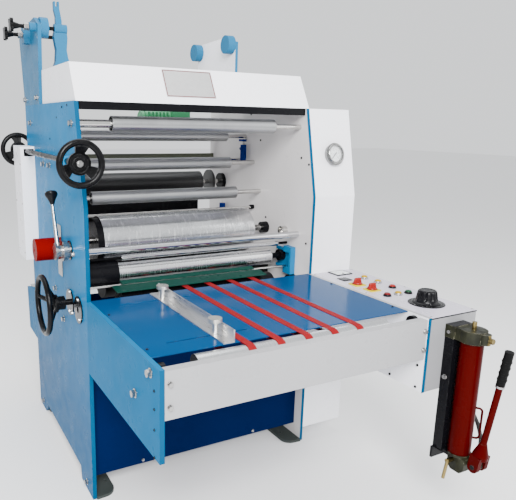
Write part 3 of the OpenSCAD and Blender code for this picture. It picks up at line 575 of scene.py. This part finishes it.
def prism(bm, outline, z0, z1, bevel=0.0, matrix=Matrix(), material=0):
    """An outline in X and Y, raised from z0 to z1, with its top edge rounded by bevel."""
    n = len(outline)
    middle = Vector((sum(p[0] for p in outline) / n, sum(p[1] for p in outline) / n))

    def ring(z, inset):
        points = []
        for i, p in enumerate(outline):
            a, b = Vector(outline[i - 1]), Vector(outline[(i + 1) % n])
            along = (b - a).normalized()
            inward = Vector((-along.y, along.x))
            if inward.dot(middle - Vector(p)) < 0:
                inward = -inward
            q = Vector(p) + inward * inset
            points.append(bm.verts.new(matrix @ Vector((q.x, q.y, z))))
        return points

    rings = [ring(z0, 0.0), ring(z1 - bevel, 0.0)]
    if bevel:
        rings += [ring(z1 - bevel * 0.3, bevel * 0.3), ring(z1, bevel)]
    skin(bm, rings, material)
    bm.faces.new(list(reversed(rings[0]))).material_index = material


def arc(centre, radius, start, end, steps):
    """Points of an arc in X and Y, in degrees."""
    turns = [math.radians(start + (end - start) * i / steps) for i in range(steps + 1)]
    return [(centre[0] + radius * math.cos(a), centre[1] + radius * math.sin(a)) for a in turns]


def rounded(lo, hi, r, steps=5):
    """Outline of a rectangle with round corners."""
    (x0, y0), (x1, y1) = lo, hi
    return (arc((x1 - r, y1 - r), r, 0, 90, steps) + arc((x0 + r, y1 - r), r, 90, 180, steps)
            + arc((x0 + r, y0 + r), r, 180, 270, steps) + arc((x1 - r, y0 + r), r, 270, 360, steps))


def hex_bolt(bm, matrix, af):
    """Washer and chamfered hexagon head, af across its flats, standing on Z = 0."""
    washer, top = af * 0.13, af * 0.72
    r = af / 2 / math.cos(math.pi / 6)
    lathe(bm, [(0, 0), (af * 0.78, 0), (af * 0.78, af * 0.09), (af * 0.72, washer), (0, washer)], matrix, 24)
    lathe(bm, [(0, washer), (r, washer), (r, af * 0.62), (r * 0.88, top), (0, top)], matrix, 6)


def socket_screw(bm, matrix, r, material=0, dark=1):
    """Button-head screw standing on Z = 0; its socket takes material number dark, a painted shade inside the
    recess.
    """
    lathe(bm, [(r, 0), (r, r * 0.2), (r * 0.85, r * 0.5), (r * 0.5, r * 0.7)], matrix, 20, material)
    lathe(bm, [(r * 0.5, r * 0.7), (r * 0.46, r * 0.25), (0, r * 0.2)], matrix, 6, dark)


def stand(x, y, z, axis):
    """The matrix that stands something on a surface at a point, pointing along axis."""
    m = turn_to(axis)
    m.translation = Vector((x, y, z))
    return m


def digits(name, text, size, matrix, body, material):
    """Raised numbers on a dial."""
    curve = bpy.data.curves.new(name, "FONT")
    curve.body = text
    curve.size = size * MM
    curve.extrude = 0.15 * MM
    curve.align_x = "CENTER"
    curve.align_y = "CENTER"
    curve.resolution_u = 3
    curve.materials.append(material)
    o = bpy.data.objects.new(name, curve)
    o.matrix_world = matrix
    return placed(o, body)


# ---------------------------------------------------------------- console

PANEL_Z = mm(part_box("console_panel")[1]).z
CONSOLE = [mm(p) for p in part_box("console_box")]


def middle_of(name):
    lo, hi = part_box(name)
    return mm((lo + hi) / 2)


BUTTONS = {1: (YELLOW, "button_yellow"), 2: (YELLOW, "button_yellow"), 3: (SCARLET, "button_red"),
           4: (BOTTLE, "button_green"), 5: (CRIMSON, "button_red"), 6: (YELLOW, "button_yellow")}


def console_buttons():
    """Domed caps and collars of the push buttons."""
    for i, (cap, slot) in BUTTONS.items():
        c = middle_of(f"button_{i}")
        top = mm(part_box(f"button_{i}")[1]).z
        collar = ALU if cap is YELLOW else PHENOLIC
        up = stand(c.x, c.y, PANEL_Z, Z)

        def draw_cap(bm):
            h = top - PANEL_Z
            lathe(bm, [(0, -26), (8, -26), (8, 0.4), (11.9, 0.5), (11.9, h - 3), (11.2, h - 1.2),
                       (9.5, h - 0.2), (8.6, h), (7.8, h - 0.7), (5.5, h - 1.3), (0, h - 1.6)], up, 40)

        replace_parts(group(f"button_cap_{i}", f"button_{i}", [cap], draw_cap), f"button_{i}")

        def draw_collar(bm):
            lathe(bm, [(12.4, 0.2), (15.2, 0.2), (15.6, 1.0), (15.6, 3.2), (14.6, 3.9), (14.6, 6.6),
                       (14.0, 7.6), (12.9, 8.0), (12.4, 7.4), (12.4, 0.2)], up, 40)
            for k in range(12):
                a = 2 * math.pi * k / 12
                rib = spun(c.x + 15.6 * math.cos(a), c.y + 15.6 * math.sin(a), PANEL_Z, a)
                brick(bm, (-0.8, -0.5, 0.8), (0.8, 0.5, 3.0), 0.2, rib)

        group(f"button_collar_{i}", "root", [collar], draw_collar)


def console_selectors():
    """Yellow legend plates and the grip ridge of each selector."""
    for i in (1, 2):
        c = middle_of(f"selector_{i}")

        def draw_plate(bm):
            prism(bm, rounded((c.x - 26, c.y - 26), (c.x + 26, c.y + 26), 2.5), PANEL_Z, PANEL_Z + 4, 0.8)
            lathe(bm, [(21.0, 4.0), (21.8, 4.25), (22.6, 4.0)], spun(c.x, c.y, PANEL_Z), 48, 1)
            for a in (45, 90, 135):
                m = spun(c.x, c.y, PANEL_Z + 4, math.radians(a))
                brick(bm, (22.9, -0.5, 0.0), (25.0, 0.5, 0.25), 0.0, m, 1)

        group(f"selector_legend_{i}", "root", [PLATE_YELLOW, INK], draw_plate)

        def draw_knob(bm):
            z = PANEL_Z + 4.3
            lathe(bm, [(0, -24), (6, -24), (6, 0), (19.6, 0), (20, 0.8), (19.6, 4.5), (18.2, 6.6), (15, 7.2),
                       (0, 7.4)], spun(c.x, c.y, z), 48)
            rings = []
            for h, half, thick in [(7.0, 20.0, 7.4), (11.0, 19.0, 7.0), (18.0, 17.2, 6.6), (22.5, 16.2, 6.2),
                                   (24.4, 15.2, 5.4), (25.0, 13.4, 4.0)]:
                ring = arc((half - thick, 0), thick, -90, 90, 8) + arc((thick - half, 0), thick, 90, 270, 8)
                rings.append([bm.verts.new((c.x + p[0], c.y + p[1], z + h)) for p in ring])
            skin(bm, rings)
            brick(bm, (c.x - 0.7, c.y + 0.6, z + 24.7), (c.x + 0.7, c.y + 4.4, z + 25.3), 0.1, material=1)

        knob = group(f"selector_grip_{i}", f"selector_{i}", [SCARLET, MARK], draw_knob, 40.0)
        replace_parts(knob, f"selector_{i}")


def console_meters():
    """The square panel meter with its needle, and the small display beside it."""
    lo, hi = (1073.0, -77.0), (1157.0, -7.0)
    x, y = (lo[0] + hi[0]) / 2, lo[1] + 16
    z = PANEL_Z
    face = z + 3.9

    def draw(bm):
        prism(bm, rounded(lo, hi, 3), z, z + 3.6, 1.0)
        window = rounded((lo[0] + 8, lo[1] + 8), (hi[0] - 8, hi[1] - 8), 1.5)
        prism(bm, window, z + 3.6, face, 0.1, material=1)
        for k in range(11):
            long = 5.5 if k % 5 == 0 else 3.2
            mark = spun(x, y, face, math.radians(140 - 10 * k))
            brick(bm, (34.0, -0.35, 0), (34.0 + long, 0.35, 0.15), 0, mark, 2)
        brick(bm, (4, -0.4, 0.2), (37, 0.4, 0.5), 0, spun(x, y, face, math.radians(140)), 2)
        lathe(bm, [(4.5, 3.9), (4.5, 5.2), (3.6, 5.7), (0, 5.8)], spun(x, y, z), 24)

    meter = group("panel_meter", "root", [PHENOLIC, DIAL, INK], draw)
    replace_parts(meter, "panel_fittings")

    def draw_small(bm):
        prism(bm, rounded((1039, -159), (1085, -111), 2), z, z + 2.6, 0.8)
        prism(bm, rounded((1044, -150), (1080, -124), 1), z + 2.6, z + 2.8, 0.1, material=1)
        for k in range(3):
            lathe(bm, [(2.2, 2.6), (2.2, 3.3), (1.6, 3.6), (0, 3.7)], spun(1050 + 12 * k, -118, z), 16, 2)

    group("panel_display", "root", [BLACK, PHENOLIC, STEEL], draw_small)


# Where the speed dial's scale starts and how far it goes round, in degrees
DIAL_START, DIAL_SWEEP = 240, 300


def speed_dial():
    """The black scale with its marks, and the fluted knob with its flared skirt."""
    c = middle_of("speed_knob")
    z = PANEL_Z

    def draw_scale(bm):
        lathe(bm, [(10.2, 0.1), (10.2, 3.0), (63.5, 3.0), (65.4, 2.4), (66.0, 1.2), (66.0, 0.1)],
              spun(c.x, c.y, z), 72)
        for k in range(51):
            m = spun(c.x, c.y, z + 3.0, math.radians(DIAL_START - DIAL_SWEEP * k / 50))
            long = 5.0 if k % 5 == 0 else 2.6
            brick(bm, (51.0, -0.3, 0), (51.0 + long, 0.3, 0.12), 0, m, 1)

    group("speed_scale", "root", [PHENOLIC, MARK], draw_scale)
    for k in range(11):
        a = math.radians(DIAL_START - DIAL_SWEEP * k / 10)
        centre = at(c.x + 60 * math.cos(a), c.y + 60 * math.sin(a), z + 3.0)
        out = Vector((math.cos(a), math.sin(a), 0))
        seat = basis(centre, Z.cross(out) * -1, out, Z)
        digits(f"speed_number_{k}", str(k * 10), 4.2, seat, "root", MARK)

    def draw_knob(bm):
        up = Matrix.Translation((c.x, c.y, z + 3.3))
        lathe(bm, [(0, -30), (7, -30), (7, 0), (48.5, 0), (49.6, 0.7), (49.4, 1.8), (45.0, 3.4), (42.2, 6.0),
                   (40.6, 10.0), (40.0, 12.0)], up, 72)
        lobes, steps = 10, 120
        rings = []
        for h, r, depth in [(12.0, 40.0, 0.0), (14.0, 39.4, 2.0), (19.0, 38.2, 4.2), (36.0, 35.4, 4.6),
                            (42.0, 34.0, 3.8), (45.6, 32.0, 2.4), (47.6, 29.0, 1.0), (48.0, 26.6, 0.0),
                            (46.8, 25.2, 0.0), (46.4, 20.0, 0.0)]:
            ring = []
            for k in range(steps):
                a = 2 * math.pi * k / steps
                rr = r - depth * max(0.0, math.cos(lobes * a)) ** 2
                ring.append(bm.verts.new(up @ Vector((rr * math.cos(a), rr * math.sin(a), h))))
            rings.append(ring)
        skin(bm, rings)
        m = up @ Matrix.Rotation(math.radians(DIAL_START), 4, "Z")
        brick(bm, (36.5, -0.8, 5.9), (48.0, 0.8, 6.3), 0.1, m, 1)
        brick(bm, (43.0, -0.8, 1.9), (48.6, 0.8, 3.0), 0.1, m, 1)

    knob = group("speed_knob_body", "speed_knob", [PHENOLIC, MARK], draw_knob, 40.0)
    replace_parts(knob, "speed_knob")


def console_trim():
    """Black edge strip under the panel, its corner screws, and the screws of the box."""
    lo, hi = CONSOLE

    def draw(bm):
        low, high = hi.z - 3.5, hi.z + 0.2
        brick(bm, (lo.x, lo.y - 1.6, low), (hi.x + 1.6, lo.y, high), 0.3)
        brick(bm, (hi.x, lo.y - 1.6, low), (hi.x + 1.6, hi.y, high), 0.3)
        brick(bm, (lo.x - 1.6, lo.y - 1.6, low), (lo.x, hi.y, high), 0.3)
        for x in (lo.x + 10, hi.x - 10):
            for y in (lo.y + 10, (lo.y + hi.y) / 2, hi.y - 12):
                socket_screw(bm, stand(x, y, PANEL_Z, Z), 3.4, 1, 0)
        for z in (lo.z + 25, hi.z - 25):
            for y in (lo.y + 30, hi.y - 30):
                socket_screw(bm, stand(hi.x, y, z, X), 4.0, 1, 0)

    group("console_trim", "root", [PHENOLIC, STEEL], draw)


console_buttons()
console_selectors()
console_meters()
speed_dial()
console_trim()


# ---------------------------------------------------------------- gauge

# The cabinet's leaning face: how far it runs back over its height
GAUGE_RUN, GAUGE_RISE = 78, 365
GAUGE_DEPTH = 24.0
GAUGE_START, GAUGE_SWEEP = 225, 270


def pressure_gauge():
    """Bezel, dial, marks and glass on the cabinet's leaning face."""
    lo, hi = (mm(p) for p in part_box("gauge_case"))
    lean = math.atan(GAUGE_RUN / GAUGE_RISE)
    out = Vector((0, -math.cos(lean), math.sin(lean)))
    up = Vector((0, math.sin(lean), math.cos(lean)))
    foot = (lo + hi) / 2 - out * GAUGE_DEPTH / 2
    seat = basis(foot, X, up, out)
    dial = 14.2

    def draw(bm):
        lathe(bm, [(44, 0), (44, 13), (47.2, 14.0), (48, 15.2), (48, 17.6), (47.2, 19.0), (44.0, 20.2),
                   (41.4, 20.4), (40.2, 21.6), (39.4, 24.6), (37.6, 26.0), (35.4, 25.6), (33.6, 22.6),
                   (32.4, 17.0), (32.0, dial)], seat, 96)
        lathe(bm, [(32.0, dial), (0, dial)], seat, 96, 1)
        for k in range(41):
            a = math.radians(GAUGE_START - GAUGE_SWEEP * k / 40)
            long, half = (5.6, 0.5) if k % 4 == 0 else (3.0, 0.25)
            mark = seat @ Matrix.Rotation(a, 4, "Z")
            brick(bm, (24.0, -half, dial), (24.0 + long, half, dial + 0.3), 0, mark, 2)
        lathe(bm, [(4.2, 18.4), (4.2, 19.4), (3.4, 20.0), (0, 20.1)], seat, 24)

    case = group("gauge_bezel", "root", [BEZEL, DIAL, INK], draw)
    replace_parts(case, "gauge_case")
    for k in range(6):
        a = math.radians(GAUGE_START - GAUGE_SWEEP * k / 5)
        centre = at(*(foot + X * (19.5 * math.cos(a)) + up * (19.5 * math.sin(a)) + out * (dial + 0.15)))
        digits(f"gauge_number_{k}", str(k * 20), 5.0, basis(centre, X, up, out), "root", INK)

    def draw_glass(bm):
        lathe(bm, [(33.4, 21.6), (30.0, 22.4), (18.0, 23.3), (0, 23.6)], seat, 64)

    group("gauge_glass", "root", [GLASS], draw_glass)


pressure_gauge()


# ---------------------------------------------------------------- hood and covers

# How far the hood's front slopes back over its height
HOOD_RUN = 74
NAMEPLATE = (449, 1576)


def nameplate():
    """Blank plate with a plain red border and four rivets on the hood's front."""
    lo, hi = (mm(p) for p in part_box("hood"))
    rise = hi.z - lo.z
    slope = math.atan2(HOOD_RUN, rise)
    out = Vector((0, -math.cos(slope), math.sin(slope)))
    up = Vector((0, math.sin(slope), math.cos(slope)))
    x, z = NAMEPLATE
    seat = basis(Vector((x, lo.y + HOOD_RUN * (z - lo.z) / rise, z)), X, up, out)
    w, h = 104.0, 58.0

    def draw(bm):
        prism(bm, rounded((-w, -h), (w, h), 3), 0.05, 1.2, 0.3, seat)
        for s in (-1, 1):
            brick(bm, (-w + 3, s * (h - 4) - 1.5, 1.2), (w - 3, s * (h - 4) + 1.5, 1.35), 0, seat, 1)
            brick(bm, (s * (w - 4) - 1.5, -h + 3, 1.2), (s * (w - 4) + 1.5, h - 3, 1.35), 0, seat, 1)
            for t in (-1, 1):
                rivet = seat @ Matrix.Translation((s * (w - 3.2), t * (h - 3.2), 0))
                lathe(bm, [(2.2, 1.2), (2.0, 1.9), (1.1, 2.4), (0, 2.5)], rivet, 12, 2)

    group("blank_nameplate", "root", [PLATE, CRIMSON, STEEL], draw)


LEFT_OUTER = mm(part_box("side_plate_left")[0]).x
GEAR_CASE_FACE = mm(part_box("gear_case")[0]).x
TABLE_TOP = mm(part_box("table_sheet")[1]).z
# The right plates' screws stand 1 mm off their inner faces, and the hood's are inside its rear sheet
RIGHT_SCREWS_X = mm(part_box("side_plate_right")[0]).x - 1
HOOD_SCREWS_Y = 583


def cover_screws():
    """Small screws of the plates, the gear case, the table and the hood."""
    def draw(bm):
        for y, z in [(512, 1480), (134, 1483), (421, 1360), (93, 1295), (38, 1270), (352, 1001), (30, 931)]:
            socket_screw(bm, stand(RIGHT_SCREWS_X, y, z, -X), 5.0, 0, 0)
        for y, z in [(-634, 623), (-512, 541), (-634, 542)]:
            socket_screw(bm, stand(RIGHT_SCREWS_X, y, z, -X), 5.0, 0, 0)
        for z in (531, 615, 676, 730):
            socket_screw(bm, stand(LEFT_OUTER, -626, z, -X), 4.5, 0, 0)

    group("plate_screws", "root", [PHENOLIC], draw)

    def draw_light(bm):
        for z in (830, 1060, 1240):
            for y in (790, 930):
                socket_screw(bm, stand(GEAR_CASE_FACE, y, z, -X), 4.0, 0, 1)
        for x in (18, 962):
            for y in (-508, -169):
                socket_screw(bm, stand(x, y, TABLE_TOP, Z), 4.5, 1, 1)
        for x in (40, 360, 680, 950):
            socket_screw(bm, stand(x, HOOD_SCREWS_Y, 1520, Y), 4.0, 0, 1)

    group("cover_screws", "root", [STEEL, PHENOLIC], draw_light)


def left_side_fittings():
    """Bolts of the two flange discs, the lever's cam bolt, and small screws and a slot of the left plate."""
    def draw(bm):
        for y, z in [(206.6, 786.8), (177.7, 709.4), (218.4, 706.2), (91.2, 785.9), (78.6, 711.6)]:
            hex_bolt(bm, stand(LEFT_OUTER - 5, y, z, -X), 9)
        hex_bolt(bm, stand(LEFT_OUTER, 151, 946, -X), 13)

    group("left_flange_bolts", "root", [STEEL], draw)

    def draw_marks(bm):
        # painted shade: the slot is a thin black patch standing in for the shade inside it
        slot = basis(Vector((LEFT_OUTER, 337, 1445)), Y * -1, Z, X * -1)
        prism(bm, rounded((-7, -3.5), (7, 3.5), 3), 0.05, 0.4, 0.1, slot)
        for y, z, r in [(170, 1487, 4.0), (244, 1482, 4.0), (456, 1362, 3.5)]:
            socket_screw(bm, stand(LEFT_OUTER, y, z, -X), r, 0, 0)

    group("left_plate_marks", "root", [PHENOLIC], draw_marks)


def cabinet_door():
    """Door on the cabinet's side, with its gap, hinges, locks and vent louvres."""
    x = mm(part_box("cabinet")[1]).x
    y0, y1, z0, z1 = 110.0, 880.0, 130.0, 1380.0
    gap, thick = 1.5, 2.2

    def draw(bm):
        side = basis(Vector((x, 0, 0)), Y, Z, X)
        prism(bm, [(y0, z0), (y1, z0), (y1, z1), (y0, z1)], 0.1, 0.5, 0.0, side, 1)
        leaf = [(y0 + gap, z0 + gap), (y1 - gap, z0 + gap), (y1 - gap, z1 - gap), (y0 + gap, z1 - gap)]
        prism(bm, leaf, 0.1, thick, 0.8, side)
        for z in (z0 + 140, z1 - 140):
            lathe(bm, [(0, -32), (5, -32), (5, 32), (0, 32)], spun(x + 4, y1 + 2, z), 20, 2)
            for low, high in ((-20, 0), (0, 20)):
                brick(bm, (x + 0.2, y1 + 2 + low, z - 28), (x + 2.6, y1 + 2 + high, z + 28), 0.5, material=2)
        for z in (z0 + 300, z1 - 300):
            lock = stand(x, y0 + 34, z, X)
            lathe(bm, [(13, thick), (13, 4.6), (11.5, 6.0), (4, 6.2), (3.4, 4.0), (0, 4.0)], lock, 28, 2)
        # painted shade: each louvre's open underside is a black face, for the shade inside the vent
        for z in range(260, 437, 22):
            for y in (330, 450, 570):
                corners = [(thick, 4, 0), (thick, 86, 0), (8.0, 82, 2), (8.0, 8, 2), (thick, 90, 15),
                           (thick, 0, 15)]
                louvre = [bm.verts.new((x + a, y + b, z + c)) for a, b, c in corners]
                for face, material in (((0, 1, 2, 3), 1), ((3, 2, 4, 5), 0), ((0, 3, 5), 0), ((1, 4, 2), 0)):
                    bm.faces.new([louvre[j] for j in face]).material_index = material

    group("cabinet_door", "root", [WHITE, PHENOLIC, STEEL], draw)


def crank_nuts():
    """Nuts that hold the upper crank's two handwheels on their shaft."""
    def draw(bm):
        hex_bolt(bm, stand(-42, -95, 1297, -Y), 14)
        hex_bolt(bm, stand(-42, 987, 1297, Y), 14)

    group("top_crank_nuts", "top_crank", [STEEL], draw)


def pump_grip():
    """Finger ridges of the pump's grip, and the ring below it."""
    def draw(bm):
        seat = turn_to((0, -math.sin(PUMP_LEAN), math.cos(PUMP_LEAN)))
        seat.translation = PUMP_PIVOT
        for k in range(4):
            h = 345 + 22 * k
            lathe(bm, [(12, h - 7), (15.4, h - 4), (16.4, h), (15.4, h + 4), (12, h + 7)], seat, 32, 0)
        lathe(bm, [(12, 314), (14.6, 314.5), (14.6, 321.5), (12, 322)], seat, 32, 1)

    group("pump_grip_ridges", "pump_handle", [GRIP, STEEL], draw)


nameplate()
cover_screws()
left_side_fittings()
crank_nuts()
pump_grip()
cabinet_door()


# ---------------------------------------------------------------- stage

def stage():
    """Pale floor, a bright world and soft area lights."""
    m, t, s = tree("pale_floor")
    s.inputs["Base Color"].default_value = rgb(0.86, 0.86, 0.86)
    t.links.new(spread(t, noise_of(t, 2.0), 0.3, 0.7, 0.75, 0.85), s.inputs["Roughness"])
    bpy.ops.mesh.primitive_plane_add(size=60, location=(0, 0, 0))
    floor = bpy.context.object
    floor.name = "floor"
    floor.data.materials.append(m)
    world = bpy.data.worlds.new("studio")
    bpy.context.scene.world = world
    world.use_nodes = True
    world.node_tree.nodes["Background"].inputs["Color"].default_value = rgb(0.96, 0.98, 1.0)
    world.node_tree.nodes["Background"].inputs["Strength"].default_value = 1.25
    for name, spot, aim, size, power in (("key", (-1.6, -3.9, 3.2), (0, 0, 0.9), 2.0, 520),
                                         ("fill", (3.4, -2.6, 2.4), (0, 0, 0.8), 2.6, 60),
                                         ("top", (0.0, 0.6, 4.4), (0, 0, 0.6), 3.2, 110)):
        light = bpy.data.lights.new(name, "AREA")
        light.energy = power
        light.shape = "SQUARE"
        light.size = size
        o = bpy.data.objects.new(name, light)
        o.location = spot
        o.rotation_euler = (Vector(aim) - Vector(spot)).to_track_quat("-Z", "Y").to_euler()
        bpy.context.scene.collection.objects.link(o)


def camera():
    """The camera that took the photograph, worked out from the machine's straight edges."""
    yaw, pitch, roll = (math.radians(a) for a in (28.142, 13.086, 0.966))
    ahead = Vector((math.sin(yaw) * math.cos(pitch), math.cos(yaw) * math.cos(pitch), -math.sin(pitch)))
    level = Vector((math.cos(yaw), -math.sin(yaw), 0))
    above = level.cross(ahead)
    right = math.cos(roll) * level + math.sin(roll) * above
    up = -math.sin(roll) * level + math.cos(roll) * above
    data = bpy.data.cameras.new("camera")
    data.sensor_width = 36
    data.lens = 40.49
    data.shift_x = 0.0925
    data.shift_y = 0.0198
    data.clip_end = 60
    cam = bpy.data.objects.new("camera", data)
    cam.matrix_world = basis(at(-558, -1957, 1425), right, up, -ahead)
    bpy.context.scene.collection.objects.link(cam)
    bpy.context.scene.camera = cam


stage()
camera()
